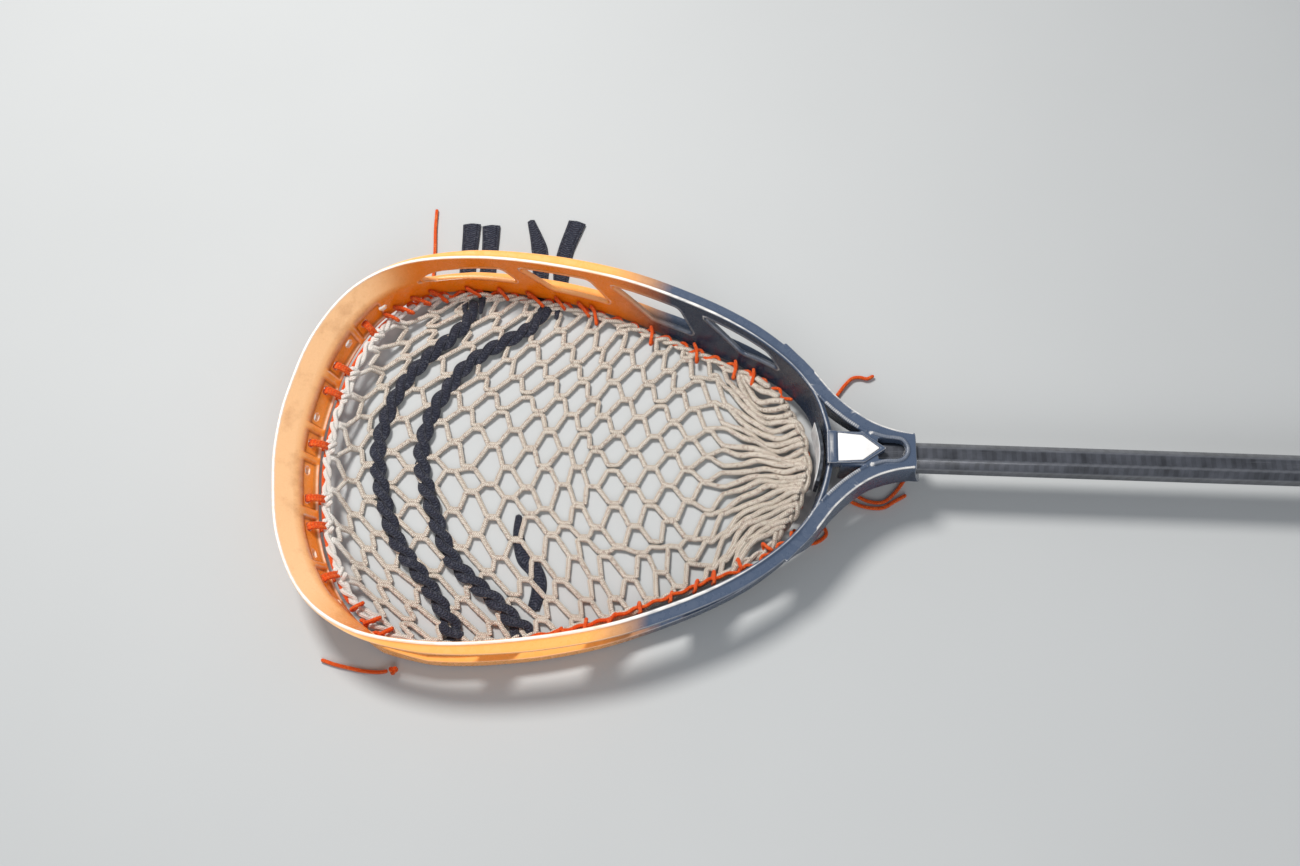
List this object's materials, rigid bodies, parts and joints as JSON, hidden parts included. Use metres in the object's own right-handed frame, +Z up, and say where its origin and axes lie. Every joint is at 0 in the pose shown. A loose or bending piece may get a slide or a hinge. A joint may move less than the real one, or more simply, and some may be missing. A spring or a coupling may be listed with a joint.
{
  "type": "lacrosse stick",
  "caption": "Goalie lacrosse stick: wide moulded head with sidewall windows, knotted mesh pocket tied on with strings and flat laces, badge in the throat, and an octagonal hollow shaft.",
  "frame": {"origin": "on the surface that the stick lies on, under the middle of its length", "axes": "+X from the scoop to the butt, +Y to the left with the scoop's back, +Z up, out of the pocket"},
  "size_m": [1.4415, 0.3979, 0.0547],
  "materials": {
    "head_plastic": "dyed translucent moulding, orange at the scoop fading to smoke grey-blue at the throat, satin with scuffs",
    "badge_plastic": "plain white insert",
    "foam": "closed-cell foam",
    "carbon": "carbon fibre tube with a clear satin coat",
    "rubber": "moulded black rubber",
    "steel": "plated",
    "mesh_cord": "braided cord, off-white with tan flecks",
    "orange_string": "braided nylon",
    "navy_lace": "flat woven lace"
  },
  "bodies": {
    "root": {"head_frame": "head_plastic", "throat_badge": "badge_plastic", "ball_stop": "foam", "shaft": "carbon", "end_cap": "rubber", "head_screw": "steel", "mesh_pocket": "mesh_cord", "top_string": "orange_string", "sidewall_string_left": "orange_string", "sidewall_string_right": "orange_string", "throat_string": "orange_string", "front_lace": "navy_lace", "rear_lace": "navy_lace", "string_knot": "orange_string", "front_lace_tail_1": "navy_lace", "front_lace_tail_2": "navy_lace", "rear_lace_tail_1": "navy_lace", "rear_lace_tail_2": "navy_lace", "pocket_lace_tail": "navy_lace", "sidewall_tail_left": "orange_string", "sidewall_tail_right": "orange_string", "throat_tail_left": "orange_string", "throat_tail_right_1": "orange_string", "throat_tail_right_2": "orange_string", "throat_tail_loop": "orange_string"}
  },
  "joints": []
}
